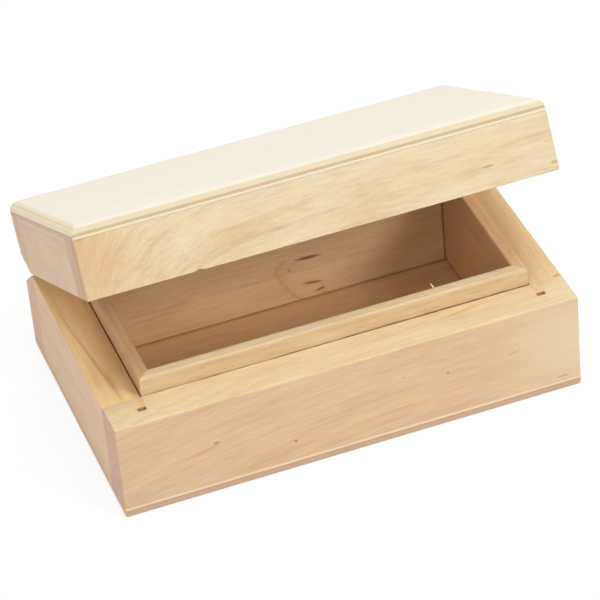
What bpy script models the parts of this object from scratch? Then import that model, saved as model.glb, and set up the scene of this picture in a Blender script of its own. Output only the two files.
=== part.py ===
"""Lined wooden keepsake box, its lid on two concealed barrel hinges.

Metres, +Z up. The origin is the centre of the underside, +X runs to the right end of the
box and -Y is the front. Box and lid were one closed case, sawn apart at the seam, so their
walls and corner joints line up. The lid is modelled shut and then turned up about the
hinge axis to the half-open position in which it stands.
"""
import math
from dataclasses import dataclass

import bmesh
import bpy
from mathutils import Matrix, Vector

# Outside of the case
BOX_WIDTH = 0.220
BOX_DEPTH = 0.140
SEAM_HEIGHT = 0.050
LID_HEIGHT = 0.0335
TOP_PANEL = 0.006
BOTTOM_PANEL = 0.0055

# Walls
FRONT_WALL = 0.018
REAR_WALL = 0.018
LEFT_WALL = 0.018
RIGHT_WALL = 0.016

# Corner joints: each end wall has a tongue on its inner face at either end, which sits in
# a dado of the front or rear wall and stops short of the dado's floor
TONGUE_THICKNESS = 0.004
TONGUE_LENGTH = 0.007
DADO_END_GAP = 0.0023
GLUE_GAP = 0.0003

# Eased edges. Where a panel's rounding meets its eased corners, these leave it no more width
# than about a millimetre.
CORNER_EASE = 0.0008
RIM_EASE = 0.0008
JOINT_EASE = 0.0003
FOOT_ROUND = 0.001
TOP_ROUND = 0.001

# Lining of the compartment, which stands above the seam and locates the lid
LINER_THICKNESS = 0.006
REAR_LINER_THICKNESS = 0.012
LINER_STAND = 0.0092
LINER_ROUND = 0.0012
LINER_GAP = 0.0005

# Lid and hinge axis
LID_GAP = 0.0003
LID_OPEN_ANGLE = math.radians(28.3)
BASE_CHAMFER_DROP = 0.0125
LID_CHAMFER_RISE = 0.009
CHAMFER_LEAD = 0.0015

# Barrel hinges, let into the rear walls with a web of wood left in front of them
HINGE_INSET = 0.040
BARREL_DIAMETER = 0.008
BARREL_LENGTH = 0.0135
BARREL_GAP = 0.0003
BARREL_WEB = 0.0009
BARREL_SUNK = 0.0003
BARREL_LEAD = 0.0006
RING_COUNT = 3
RING_WIDTH = 0.001
RING_DEPTH = 0.0004
PIN_DIAMETER = 0.002
PIN_GAP = 0.0002
KNUCKLE_GAP = 0.0003
KNUCKLE_PACK_SHARE = 0.8
CENTRE_KNUCKLE_SHARE = 0.325

# Allowances for cutting tools
OVERRUN = 0.001
SAME_PLACE = 0.00001

BARREL_SEGMENTS = 32
CORNER_SEGMENTS = 2
ROUND_SEGMENTS = 4

# Places that follow from the sizes
LEFT = -BOX_WIDTH / 2
RIGHT = BOX_WIDTH / 2
FRONT = -BOX_DEPTH / 2
REAR = BOX_DEPTH / 2
INNER_LEFT = LEFT + LEFT_WALL
INNER_RIGHT = RIGHT - RIGHT_WALL
INNER_FRONT = FRONT + FRONT_WALL
INNER_REAR = REAR - REAR_WALL
LINER_LEFT = INNER_LEFT + LINER_GAP
LINER_RIGHT = INNER_RIGHT - LINER_GAP
LINER_FRONT = INNER_FRONT + LINER_GAP
LINER_REAR = INNER_REAR - LINER_GAP
LINER_BOTTOM = BOTTOM_PANEL + LINER_GAP
LINER_TOP = SEAM_HEIGHT + LINER_STAND
LID_BOTTOM = SEAM_HEIGHT + LID_GAP
BARREL_RADIUS = BARREL_DIAMETER / 2
BORE_RADIUS = BARREL_RADIUS + BARREL_GAP
HINGE_AXIS = Vector((0, INNER_REAR + BARREL_WEB + BORE_RADIUS, SEAM_HEIGHT + LID_GAP / 2))
CHAMFER_START = HINGE_AXIS.y - CHAMFER_LEAD

# The knuckles are as round as the barrel's circle lets them be
KNUCKLE_PACK = BARREL_DIAMETER * KNUCKLE_PACK_SHARE
CENTRE_KNUCKLE = BARREL_DIAMETER * CENTRE_KNUCKLE_SHARE
KNUCKLE_RADIUS = math.sqrt(BARREL_RADIUS ** 2 - (KNUCKLE_PACK / 2) ** 2)


@dataclass
class Half:
    """One half of the case: the levels of its walls and where its pieces go."""

    name: str
    wall_bottom: float
    wall_top: float
    bottom_ease: float
    top_ease: float
    upward: int
    chamfer: float
    parts: bpy.types.Collection
    tools: bpy.types.Collection
    hinge: bpy.types.Object = None

    @property
    def seam(self):
        """The level of the walls' edges at the seam."""
        return self.wall_bottom if self.upward > 0 else self.wall_top

    @property
    def barrel_mouth(self):
        """The level of the barrels' ends, a little inside their bores."""
        return self.seam + self.upward * BARREL_SUNK


def clear_scene():
    for thing in list(bpy.data.objects):
        bpy.data.objects.remove(thing, do_unlink=True)


def new_collection(name):
    collection = bpy.data.collections.new(name)
    bpy.context.scene.collection.children.link(collection)
    return collection


def principled(name, colour, roughness, metallic=0):
    material = bpy.data.materials.new(name)
    material.use_nodes = True
    shader = material.node_tree.nodes["Principled BSDF"]
    shader.inputs["Base Color"].default_value = (*colour, 1)
    shader.inputs["Roughness"].default_value = roughness
    shader.inputs["Metallic"].default_value = metallic
    material.diffuse_color = (*colour, 1)
    return material


def face_timber(name):
    """The golden face grain of the front and rear walls."""
    return principled(name, (0.72, 0.50, 0.29), 0.55)


def end_timber(name):
    """The duller, pinkish grain of the two end walls."""
    return principled(name, (0.64, 0.46, 0.32), 0.6)


def panel_timber(name):
    """The pale board of the lid's top and the base's floor."""
    return principled(name, (0.85, 0.69, 0.46), 0.5)


def liner_timber(name):
    """The smooth timber of the lining."""
    return principled(name, (0.74, 0.52, 0.29), 0.5)


def hinge_brass(name):
    return principled(name, (0.78, 0.57, 0.22), 0.3, metallic=1)


def pin_steel(name):
    return principled(name, (0.55, 0.55, 0.56), 0.35, metallic=1)


def add_object(name, mesh, origin, group, hinge=None):
    """Make an object of a bmesh that was drawn in the shut box's own coordinates.

    Its origin goes to the given point, and under the hinge, if it has one.
    """
    origin = Vector(origin)
    bmesh.ops.translate(mesh, vec=-origin, verts=mesh.verts)
    bmesh.ops.recalc_face_normals(mesh, faces=mesh.faces)
    data = bpy.data.meshes.new(name)
    mesh.to_mesh(data)
    mesh.free()
    thing = bpy.data.objects.new(name, data)
    thing.parent = hinge
    thing.location = origin - HINGE_AXIS if hinge else origin
    group.objects.link(thing)
    return thing


def add_piece(name, mesh, origin, half, material):
    piece = add_object(name, mesh, origin, half.parts, half.hinge)
    piece.data.materials.append(material)
    return piece


def add_tool(name, mesh, origin, half):
    """A cutting tool: a hidden body for the Boolean cuts."""
    tool = add_object(name, mesh, origin, half.tools, half.hinge)
    tool.hide_render = True
    tool.display_type = "WIRE"
    return tool


def combine(piece, tool, operation="DIFFERENCE"):
    modifier = piece.modifiers.new(tool.name, "BOOLEAN")
    modifier.operation = operation
    modifier.solver = "EXACT"
    modifier.object = tool


def board(low, high):
    """A square-edged board between two opposite corners, as a bmesh."""
    low, high = Vector(low), Vector(high)
    mesh = bmesh.new()
    bmesh.ops.create_cube(mesh, size=1)
    bmesh.ops.scale(mesh, vec=high - low, verts=mesh.verts)
    bmesh.ops.translate(mesh, vec=(low + high) / 2, verts=mesh.verts)
    return mesh


def moulding(outline, low_x, high_x):
    """A section drawn in Y and Z and run out along X, as a bmesh."""
    mesh = bmesh.new()
    section = mesh.faces.new([mesh.verts.new((low_x, y, z)) for y, z in outline])
    run = bmesh.ops.extrude_face_region(mesh, geom=[section])
    moved = [item for item in run["geom"] if isinstance(item, bmesh.types.BMVert)]
    bmesh.ops.translate(mesh, vec=(high_x - low_x, 0, 0), verts=moved)
    return mesh


def rod(radius, low_x, high_x):
    """A cylinder on the hinge axis, as a bmesh."""
    mesh = bmesh.new()
    middle = Vector(((low_x + high_x) / 2, HINGE_AXIS.y, HINGE_AXIS.z))
    bmesh.ops.create_cone(
        mesh, cap_ends=True, segments=BARREL_SEGMENTS, radius1=radius, radius2=radius,
        depth=high_x - low_x,
        matrix=Matrix.Translation(middle) @ Matrix.Rotation(math.pi / 2, 4, "Y"),
    )
    return mesh


def saw(mesh, point, away):
    """Cut off what lies on the far side of a plane and close the cut."""
    cut = bmesh.ops.bisect_plane(
        mesh, geom=mesh.verts[:] + mesh.edges[:] + mesh.faces[:],
        plane_co=point, plane_no=away, clear_outer=True,
    )
    edges = [item for item in cut["geom_cut"] if isinstance(item, bmesh.types.BMEdge)]
    bmesh.ops.contextual_create(mesh, geom=edges)


def bevel(mesh, edges, width, segments=1):
    bmesh.ops.bevel(
        mesh, geom=edges, offset=width, offset_type="OFFSET", segments=segments,
        profile=0.5, affect="EDGES", clamp_overlap=True,
    )


def same(first, second):
    return abs(first - second) < SAME_PLACE


def on_outline(point):
    """Whether a point lies on the outside of the case, seen from above."""
    in_x = RIGHT - abs(point.x)
    in_y = REAR - abs(point.y)
    on_corner = in_x < CORNER_EASE + SAME_PLACE and in_y < CORNER_EASE + SAME_PLACE
    return on_corner or same(in_x, 0) or same(in_y, 0)


def round_corners(mesh):
    """Ease the upright edges at the corners of the case."""
    edges = []
    for edge in mesh.edges:
        a, b = (vert.co for vert in edge.verts)
        upright = same(a.x, b.x) and same(a.y, b.y)
        if upright and same(abs(a.x), RIGHT) and same(abs(a.y), REAR):
            edges.append(edge)
    bevel(mesh, edges, CORNER_EASE, CORNER_SEGMENTS)


def ease_outline(mesh, level, width, segments=1):
    """Ease the edges at one level on the outside of the case, not those at a joint."""
    edges = []
    for edge in mesh.edges:
        a, b = (vert.co for vert in edge.verts)
        level_edge = same(a.z, level) and same(b.z, level)
        if level_edge and all(on_outline(point) for point in (a, b, (a + b) / 2)):
            edges.append(edge)
    bevel(mesh, edges, width, segments)


def ease_wall(mesh, half):
    round_corners(mesh)
    ease_outline(mesh, half.wall_bottom, half.bottom_ease)
    ease_outline(mesh, half.wall_top, half.top_ease)


def cut_dados(wall, half, inner_y, into_wall):
    """Rout the two dados of a long wall. into_wall is -1 for the front, 1 for the rear."""
    starts_x = {
        "left": INNER_LEFT - TONGUE_THICKNESS - GLUE_GAP,
        "right": INNER_RIGHT - GLUE_GAP,
    }
    depth = TONGUE_LENGTH + DADO_END_GAP
    low_y, high_y = sorted((inner_y - into_wall * OVERRUN, inner_y + into_wall * depth))
    for side, low_x in starts_x.items():
        low = (low_x, low_y, half.wall_bottom - OVERRUN)
        high_x = low_x + TONGUE_THICKNESS + 2 * GLUE_GAP
        high = (high_x, high_y, half.wall_top + OVERRUN)
        combine(wall, add_tool(f"{wall.name}_{side}_dado", board(low, high), low, half))


def front_wall(half):
    """The full-width front board, with a dado for each end wall."""
    name = f"{half.name}_front_wall"
    mesh = board((LEFT, FRONT, half.wall_bottom), (RIGHT, INNER_FRONT, half.wall_top))
    ease_wall(mesh, half)
    wall = add_piece(name, mesh, (0, FRONT, half.wall_bottom), half, face_timber(name))
    cut_dados(wall, half, INNER_FRONT, -1)
    return wall


def chamfer(mesh, half):
    """Cut a wall's rear edge at the seam away, from just in front of the hinge axis."""
    slope = Vector((0, REAR - CHAMFER_START, half.upward * half.chamfer))
    away = slope.cross(Vector((half.upward, 0, 0)))
    saw(mesh, Vector((0, CHAMFER_START, half.seam)), away.normalized())


def rear_wall(half, bores):
    """The full-width rear board, which takes the hinges and clears the lid's swing."""
    name = f"{half.name}_rear_wall"
    mesh = board((LEFT, INNER_REAR, half.wall_bottom), (RIGHT, REAR, half.wall_top))
    ease_wall(mesh, half)
    chamfer(mesh, half)
    wall = add_piece(name, mesh, (0, HINGE_AXIS.y, half.seam), half, face_timber(name))
    cut_dados(wall, half, INNER_REAR, 1)
    for bore in bores:
        combine(wall, bore)
    return wall


def end_wall(half, side):
    """A left or right board, rebated at both ends to leave a tongue on its inner face."""
    name = f"{half.name}_{side}_wall"
    outer, inner, outward = (LEFT, INNER_LEFT, -1) if side == "left" else (RIGHT, INNER_RIGHT, 1)
    low_x, high_x = sorted((outer, inner))
    end_front = INNER_FRONT - TONGUE_LENGTH
    end_rear = INNER_REAR + TONGUE_LENGTH
    mesh = board((low_x, end_front, half.wall_bottom), (high_x, end_rear, half.wall_top))
    ease_wall(mesh, half)
    chamfer(mesh, half)
    wall = add_piece(name, mesh, (outer, 0, half.wall_bottom), half, end_timber(name))
    waste_x = sorted((inner + outward * TONGUE_THICKNESS, outer + outward * OVERRUN))
    rebates_y = {
        "front": (end_front - OVERRUN, INNER_FRONT + GLUE_GAP),
        "rear": (INNER_REAR - GLUE_GAP, end_rear + OVERRUN),
    }
    for end, (low_y, high_y) in rebates_y.items():
        low = (waste_x[0], low_y, half.wall_bottom - OVERRUN)
        high = (waste_x[1], high_y, half.wall_top + OVERRUN)
        combine(wall, add_tool(f"{name}_{end}_rebate", board(low, high), low, half))
    return wall


def base_bottom_panel(base):
    """The plywood floor of the base, glued on from below, its lower edge rounded."""
    name = "base_bottom_panel"
    mesh = board((LEFT, FRONT, 0), (RIGHT, REAR, BOTTOM_PANEL))
    round_corners(mesh)
    ease_outline(mesh, 0, min(FOOT_ROUND, BOTTOM_PANEL / 3), ROUND_SEGMENTS)
    ease_outline(mesh, BOTTOM_PANEL, min(JOINT_EASE, BOTTOM_PANEL / 3))
    return add_piece(name, mesh, (0, 0, 0), base, panel_timber(name))


def lid_top_panel(lid):
    """The plywood top of the lid, its upper edge rounded."""
    name = "lid_top_panel"
    top = SEAM_HEIGHT + LID_HEIGHT
    mesh = board((LEFT, FRONT, top - TOP_PANEL), (RIGHT, REAR, top))
    round_corners(mesh)
    ease_outline(mesh, top - TOP_PANEL, min(JOINT_EASE, TOP_PANEL / 3))
    ease_outline(mesh, top, min(TOP_ROUND, TOP_PANEL / 2), ROUND_SEGMENTS)
    return add_piece(name, mesh, (0, 0, top - TOP_PANEL), lid, panel_timber(name))


def liner_board(name, low, high, along, mitres, base):
    """A lining board with a rounded top, mitred at the ends that mitres names.

    along is the axis that it runs along, 0 or 1. mitres lists for each cut a point on
    its plane and the direction of its waste.
    """
    across = 1 - along
    mesh = board(low, high)
    edges = []
    for edge in mesh.edges:
        a, b = (vert.co for vert in edge.verts)
        if same(a.z, high[2]) and same(b.z, high[2]) and same(a[across], b[across]):
            edges.append(edge)
    bevel(mesh, edges, min(LINER_ROUND, LINER_THICKNESS / 3), ROUND_SEGMENTS)
    for point, away in mitres:
        saw(mesh, point, away)
    origin = (Vector(low) + Vector(high)) / 2
    origin.z = low[2]
    piece = add_piece(name, mesh, origin, base, liner_timber(name))
    piece.data.shade_smooth()
    piece.data.set_sharp_from_angle(angle=math.radians(30))
    return piece


def liner_mitre(side, waste_forward):
    """The cut of a front corner of the lining, for the front board or for an end board.

    It gives a point on the plane of the cut, half the glue gap away from the mitre's
    own line, and the direction of the waste.
    """
    outward = -1 if side == "left" else 1
    corner = Vector((LINER_LEFT if side == "left" else LINER_RIGHT, LINER_FRONT, 0))
    waste = Vector((outward, 1, 0)).normalized() * (-1 if waste_forward else 1)
    half_gap = Vector((GLUE_GAP / math.sqrt(2), 0, 0)) * outward
    return (corner + (half_gap if waste_forward else -half_gap), waste)


def liner_front(base):
    """The front board of the lining, mitred at both ends."""
    low = (LINER_LEFT, LINER_FRONT, LINER_BOTTOM)
    high = (LINER_RIGHT, LINER_FRONT + LINER_THICKNESS, LINER_TOP)
    mitres = [liner_mitre("left", False), liner_mitre("right", False)]
    return liner_board("liner_front", low, high, 0, mitres, base)


def liner_left(base):
    """The left board of the lining, mitred at the front and running through to the rear."""
    low = (LINER_LEFT, LINER_FRONT, LINER_BOTTOM)
    high = (LINER_LEFT + LINER_THICKNESS, LINER_REAR, LINER_TOP)
    return liner_board("liner_left", low, high, 1, [liner_mitre("left", True)], base)


def liner_right(base):
    """The right board of the lining, mitred at the front and running through to the rear."""
    low = (LINER_RIGHT - LINER_THICKNESS, LINER_FRONT, LINER_BOTTOM)
    high = (LINER_RIGHT, LINER_REAR, LINER_TOP)
    return liner_board("liner_right", low, high, 1, [liner_mitre("right", True)], base)


def liner_rear(base):
    """The rear board of the lining, butted between the two end boards.

    It is thicker than they are and backs the webs of wood in front of the hinges.
    """
    inset = LINER_THICKNESS + GLUE_GAP
    low = (LINER_LEFT + inset, LINER_REAR - REAR_LINER_THICKNESS, LINER_BOTTOM)
    high = (LINER_RIGHT - inset, LINER_REAR, LINER_TOP)
    return liner_board("liner_rear", low, high, 0, [], base)


def barrel_bore(half, side, centre_x):
    """The blind hole for one barrel, drilled into the wall from the seam."""
    depth = BARREL_SUNK + BARREL_LENGTH + BARREL_GAP
    mesh = bmesh.new()
    middle_z = half.seam + half.upward * (depth - OVERRUN) / 2
    middle = Vector((centre_x, HINGE_AXIS.y, middle_z))
    bmesh.ops.create_cone(
        mesh, cap_ends=True, segments=BARREL_SEGMENTS, radius1=BORE_RADIUS,
        radius2=BORE_RADIUS, depth=depth + OVERRUN, matrix=Matrix.Translation(middle),
    )
    return add_tool(f"{half.name}_{side}_hinge_bore", mesh, middle, half)


def barrel_section():
    """Half the section of a barrel: distances from its axis and from its mouth."""
    points = [(0, 0), (BARREL_RADIUS, 0)]
    ring_pitch = 2 * RING_WIDTH
    start = BARREL_LENGTH - BARREL_LEAD - RING_COUNT * ring_pitch
    for ring in range(RING_COUNT):
        groove = start + ring * ring_pitch
        points += [
            (BARREL_RADIUS, groove),
            (BARREL_RADIUS - RING_DEPTH, groove + RING_DEPTH),
            (BARREL_RADIUS - RING_DEPTH, groove + RING_WIDTH),
            (BARREL_RADIUS, groove + RING_WIDTH),
        ]
    points += [
        (BARREL_RADIUS, BARREL_LENGTH - BARREL_LEAD),
        (BARREL_RADIUS - BARREL_LEAD, BARREL_LENGTH),
        (0, BARREL_LENGTH),
    ]
    return points


def turned_barrel(name, centre_x, half):
    """A barrel turned about its own axis, with rings that grip the bore."""
    section = barrel_section()
    if half.upward > 0:
        section.reverse()
    mouth = Vector((centre_x, HINGE_AXIS.y, half.barrel_mouth))
    mesh = bmesh.new()
    verts = [mesh.verts.new((across, 0, half.upward * along)) for across, along in section]
    for pair in zip(verts, verts[1:]):
        mesh.edges.new(pair)
    bmesh.ops.translate(mesh, vec=mouth, verts=mesh.verts)
    barrel = add_piece(name, mesh, mouth, half, hinge_brass(name))
    screw = barrel.modifiers.new("Turn", "SCREW")
    screw.axis = "Z"
    screw.angle = 2 * math.pi
    screw.steps = BARREL_SEGMENTS
    screw.render_steps = BARREL_SEGMENTS
    screw.use_merge_vertices = True
    screw.merge_threshold = SAME_PLACE
    screw.use_smooth_shade = True
    return barrel


def chamfer_tool(name, centre_x, half):
    """The wedge that cuts a barrel back in line with the chamfer of its wall."""
    mouth = half.barrel_mouth
    reach = BARREL_RADIUS + OVERRUN
    run = CHAMFER_LEAD + reach
    rise = half.upward * half.chamfer / (REAR - CHAMFER_START) * run
    above = mouth - half.upward * OVERRUN
    section = [
        (CHAMFER_START, mouth), (CHAMFER_START + run, mouth + rise),
        (CHAMFER_START + run, above), (CHAMFER_START, above),
    ]
    mesh = moulding(section, centre_x - reach, centre_x + reach)
    return add_tool(name, mesh, (centre_x, HINGE_AXIS.y, mouth), half)


def hinge_rod_tool(name, radius, low_x, high_x, half):
    """A cutting or joining body on the hinge axis."""
    return add_tool(name, rod(radius, low_x, high_x), (low_x, *HINGE_AXIS.yz), half)


def hinge_barrel(name, centre_x, cleared_spans, half):
    """One half of a hinge.

    It carries a pack of knuckles, less the spans along the axis in which the other
    half's knuckles turn, and the hole for the pin.
    """
    barrel = turned_barrel(name, centre_x, half)
    combine(barrel, chamfer_tool(f"{name}_chamfer", centre_x, half))
    reach = KNUCKLE_PACK / 2
    knuckles = hinge_rod_tool(
        f"{name}_knuckles", KNUCKLE_RADIUS, centre_x - reach, centre_x + reach, half
    )
    combine(barrel, knuckles, "UNION")
    for index, (low, high) in enumerate(cleared_spans):
        relief = hinge_rod_tool(
            f"{name}_relief_{index}", KNUCKLE_RADIUS + KNUCKLE_GAP, centre_x + low,
            centre_x + high, half,
        )
        combine(barrel, relief)
    reach = BARREL_RADIUS + OVERRUN
    hole = hinge_rod_tool(
        f"{name}_pin_hole", PIN_DIAMETER / 2 + PIN_GAP, centre_x - reach, centre_x + reach, half
    )
    combine(barrel, hole)
    return barrel


def hinge_pin(name, centre_x, half):
    """The pin through the knuckles, as long as their pack."""
    reach = KNUCKLE_PACK / 2
    mesh = rod(PIN_DIAMETER / 2, centre_x - reach, centre_x + reach)
    piece = add_piece(name, mesh, (centre_x, *HINGE_AXIS.yz), half, pin_steel(name))
    piece.data.shade_smooth()
    piece.data.set_sharp_from_angle(angle=math.radians(30))
    return piece


def barrel_hinge(side, centre_x, base, lid):
    """A concealed hinge: its lower barrel has the middle knuckle, its upper the outer two."""
    middle = CENTRE_KNUCKLE / 2
    beyond = BARREL_RADIUS + OVERRUN
    hinge_barrel(
        f"{side}_hinge_lower_barrel", centre_x, [(-beyond, -middle), (middle, beyond)], base
    )
    hinge_barrel(
        f"{side}_hinge_upper_barrel", centre_x,
        [(-middle - KNUCKLE_GAP, middle + KNUCKLE_GAP)], lid,
    )
    hinge_pin(f"{side}_hinge_pin", centre_x, base)


def lid_hinge_empty(parts):
    """The empty on the hinge axis that carries the lid and turns it open."""
    empty = bpy.data.objects.new("lid_hinge", None)
    empty.location = HINGE_AXIS
    empty.rotation_euler.x = -LID_OPEN_ANGLE
    parts.objects.link(empty)
    return empty


def main():
    clear_scene()
    parts = new_collection("keepsake_box")
    tools = new_collection("cutting_tools")
    base = Half(
        name="base", wall_bottom=BOTTOM_PANEL + GLUE_GAP, wall_top=SEAM_HEIGHT,
        bottom_ease=JOINT_EASE, top_ease=RIM_EASE, upward=-1, chamfer=BASE_CHAMFER_DROP,
        parts=parts, tools=tools,
    )
    lid = Half(
        name="lid", wall_bottom=LID_BOTTOM,
        wall_top=SEAM_HEIGHT + LID_HEIGHT - TOP_PANEL - GLUE_GAP,
        bottom_ease=RIM_EASE, top_ease=JOINT_EASE, upward=1, chamfer=LID_CHAMFER_RISE,
        parts=parts, tools=tools, hinge=lid_hinge_empty(parts),
    )
    hinge_places = {"left": LEFT + HINGE_INSET, "right": RIGHT - HINGE_INSET}

    base_bottom_panel(base)
    lid_top_panel(lid)
    for half in (base, lid):
        front_wall(half)
        rear_wall(half, [barrel_bore(half, side, x) for side, x in hinge_places.items()])
        end_wall(half, "left")
        end_wall(half, "right")
    liner_front(base)
    liner_left(base)
    liner_right(base)
    liner_rear(base)
    for side, centre_x in hinge_places.items():
        barrel_hinge(side, centre_x, base, lid)


main()
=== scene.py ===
"""A lined wooden keepsake box, its lid half open on two concealed barrel hinges.

Every board is modelled where it is when the box is shut, and the lid's boards are then turned
up about the hinge axis. The origin is the centre of the underside, +X runs to the right end of
the box, -Y is the front and all lengths are in metres.
"""

import logging
import math
from dataclasses import dataclass, field, replace
from enum import Enum
from typing import Callable, Sequence

import bpy
from mathutils import Matrix, Vector

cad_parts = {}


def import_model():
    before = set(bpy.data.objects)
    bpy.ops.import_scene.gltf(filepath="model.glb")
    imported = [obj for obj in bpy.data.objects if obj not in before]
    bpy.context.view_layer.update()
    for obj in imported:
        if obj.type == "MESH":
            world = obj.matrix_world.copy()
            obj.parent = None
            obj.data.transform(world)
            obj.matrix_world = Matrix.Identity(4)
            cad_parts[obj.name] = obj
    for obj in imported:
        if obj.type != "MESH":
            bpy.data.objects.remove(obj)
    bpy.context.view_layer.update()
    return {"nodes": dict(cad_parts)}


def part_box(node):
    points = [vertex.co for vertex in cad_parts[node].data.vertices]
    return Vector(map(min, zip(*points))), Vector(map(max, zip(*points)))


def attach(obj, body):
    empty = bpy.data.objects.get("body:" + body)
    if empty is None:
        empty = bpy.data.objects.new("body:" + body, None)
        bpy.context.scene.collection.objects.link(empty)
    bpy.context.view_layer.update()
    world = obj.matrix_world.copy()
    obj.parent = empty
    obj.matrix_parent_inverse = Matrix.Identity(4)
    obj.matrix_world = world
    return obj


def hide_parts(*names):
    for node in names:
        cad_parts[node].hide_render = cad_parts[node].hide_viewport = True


Colour = tuple[float, float, float]
Paint = tuple[float, float, float, float]
Point = tuple[float, float, float]
Thing = bpy.types.Object
Node = bpy.types.Node
Socket = bpy.types.NodeSocket
EdgeTest = Callable[[Vector, Vector], bool]

log = logging.getLogger("keepsake_box")

SAME_PLACE = 0.00001
OVERRUN = 0.001
DRILL_SIDES = 48
EASE_STEPS = 2
ROUND_STEPS = 8
SMOOTH_ANGLE = math.radians(40)
LARGE_STRAY = 0.001


class Body(Enum):
    """The two halves of the box that move against each other."""

    BASE = "base"
    LID = "lid"


class Grain(Enum):
    """The way the fibres of a board run."""

    ALONG_WIDTH = 0
    ALONG_DEPTH = 1


class Side(Enum):
    """The left or the right end of the box."""

    LEFT = "left"
    RIGHT = "right"


class Slot(Enum):
    """The kinds of finish, by name."""

    FACE = "wall_face_grain"
    END = "end_wall_grain"
    TOP = "top_panel"
    FLOOR = "floor_panel"
    LINER = "liner"
    BRASS = "hinge_brass"
    STEEL = "hinge_pin_steel"


def tone(red: int, green: int, blue: int) -> Colour:
    """Turn a colour as a screen shows it into the one that a shader is given.

    Args:
        red, green, blue: The parts of the colour, from 0 to 255.

    Returns:
        The same colour in linear light, from 0 to 1.
    """

    def linear(part: int) -> float:
        """Turn one part of the colour."""
        share = part / 255
        return share / 12.92 if share <= 0.04045 else ((share + 0.055) / 1.055) ** 2.4

    return linear(red), linear(green), linear(blue)


# --- Sizes of the shut box ---


@dataclass(frozen=True)
class Case:
    """The sizes that the boards of the box share."""

    width: float = 0.220
    depth: float = 0.140
    seam: float = 0.050
    lid_height: float = 0.0335
    top_panel: float = 0.006
    bottom_panel: float = 0.0055
    front_wall: float = 0.018
    rear_wall: float = 0.018
    left_wall: float = 0.018
    right_wall: float = 0.016
    tongue_thickness: float = 0.004
    tongue_length: float = 0.007
    dado_end_gap: float = 0.0023
    glue_line: float = 0.00006
    lid_gap: float = 0.0003
    corner_ease: float = 0.0008
    rim_ease: float = 0.0008
    lid_rim_ease: float = 0.0003
    joint_ease: float = 0.00015
    liner_gap: float = 0.0005
    hinge_inset: float = 0.040
    bore_radius: float = 0.0043
    bore_depth: float = 0.0141
    barrel_web: float = 0.0009
    chamfer_lead: float = 0.0015
    base_chamfer: float = 0.0125
    lid_chamfer: float = 0.009
    foot_round: float = 0.0016
    top_round: float = 0.0044
    open_angle: float = math.radians(28.3)

    @property
    def left(self) -> float:
        """The outer face of the left end."""
        return -self.width / 2

    @property
    def right(self) -> float:
        """The outer face of the right end."""
        return self.width / 2

    @property
    def front(self) -> float:
        """The outer face of the front."""
        return -self.depth / 2

    @property
    def rear(self) -> float:
        """The outer face of the rear."""
        return self.depth / 2

    @property
    def inner_left(self) -> float:
        """The inner face of the left wall."""
        return self.left + self.left_wall

    @property
    def inner_right(self) -> float:
        """The inner face of the right wall."""
        return self.right - self.right_wall

    @property
    def inner_front(self) -> float:
        """The inner face of the front wall."""
        return self.front + self.front_wall

    @property
    def inner_rear(self) -> float:
        """The inner face of the rear wall."""
        return self.rear - self.rear_wall

    @property
    def top(self) -> float:
        """The top of the shut lid."""
        return self.seam + self.lid_height

    @property
    def hinge_axis(self) -> Vector:
        """The middle of the line about which the lid turns."""
        along_y = self.inner_rear + self.barrel_web + self.bore_radius
        return Vector((0.0, along_y, self.seam + self.lid_gap / 2))

    @property
    def chamfer_start(self) -> float:
        """Where the rear chamfers begin, a little in front of the hinge axis."""
        return self.hinge_axis.y - self.chamfer_lead

    @property
    def raising(self) -> Matrix:
        """The turn that carries the shut lid up to where it stands half open."""
        turn = Matrix.Rotation(-self.open_angle, 4, "X")
        return Matrix.Translation(self.hinge_axis) @ turn @ Matrix.Translation(-self.hinge_axis)

    def on_outline(self, point: Vector) -> bool:
        """Tell whether a point is on the outside of the case, seen from above.

        Args:
            point: The point, on the shut box.

        Returns:
            Whether it is on the outside or on an eased corner.
        """
        in_x = self.right - abs(point.x)
        in_y = self.rear - abs(point.y)
        near = self.corner_ease + SAME_PLACE
        on_corner = in_x < near and in_y < near
        return on_corner or abs(in_x) < SAME_PLACE or abs(in_y) < SAME_PLACE


# --- Finishes ---


class Sheet:
    """The nodes of a material or a world, with a short call for each kind in use."""

    def __init__(self, tree: bpy.types.NodeTree) -> None:
        """Take a node tree in hand."""
        self.tree = tree

    def set(self, node: Node, key: str | int, value: object) -> None:
        """Give an input a number, a colour or another node's output.

        Args:
            node: The node.
            key: Which of its inputs, by name or number.
            value: The number, the colour or the other node's output.
        """
        if isinstance(value, Socket):
            self.tree.links.new(value, node.inputs[key])
        else:
            node.inputs[key].default_value = value

    def add(self, kind: str, inputs: dict[str | int, object], **settings: object) -> Node:
        """Add a node.

        Args:
            kind: The part of the node's type name after "ShaderNode".
            inputs: Values or sockets for its inputs, by name or number.
            **settings: Its other settings.

        Returns:
            The node.
        """
        node = self.tree.nodes.new("ShaderNode" + kind)
        for key, value in settings.items():
            setattr(node, key, value)
        for key, value in inputs.items():
            self.set(node, key, value)
        return node

    def maths(self, operation: str, first: object, second: object = 0.0) -> Socket:
        """Work out one sum of two values."""
        return self.add("Math", {0: first, 1: second}, operation=operation).outputs[0]

    def two_ways(self, lights: Node, looks: Node, output: str) -> None:
        """Shade a surface one way for what it lights and another way where it is looked at.

        Args:
            lights: The shader that the other surfaces are lit by.
            looks: The one that is seen, straight or in a reflection.
            output: The kind of the output node.
        """
        path = self.add("LightPath", {}).outputs
        seen = path["Is Camera Ray"]
        for other in ("Is Glossy Ray", "Is Transmission Ray"):
            seen = self.maths("MAXIMUM", seen, path[other])
        mixed = self.add("MixShader", {0: seen, 1: lights.outputs[0], 2: looks.outputs[0]})
        self.add(output, {"Surface": mixed.outputs[0]})


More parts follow.
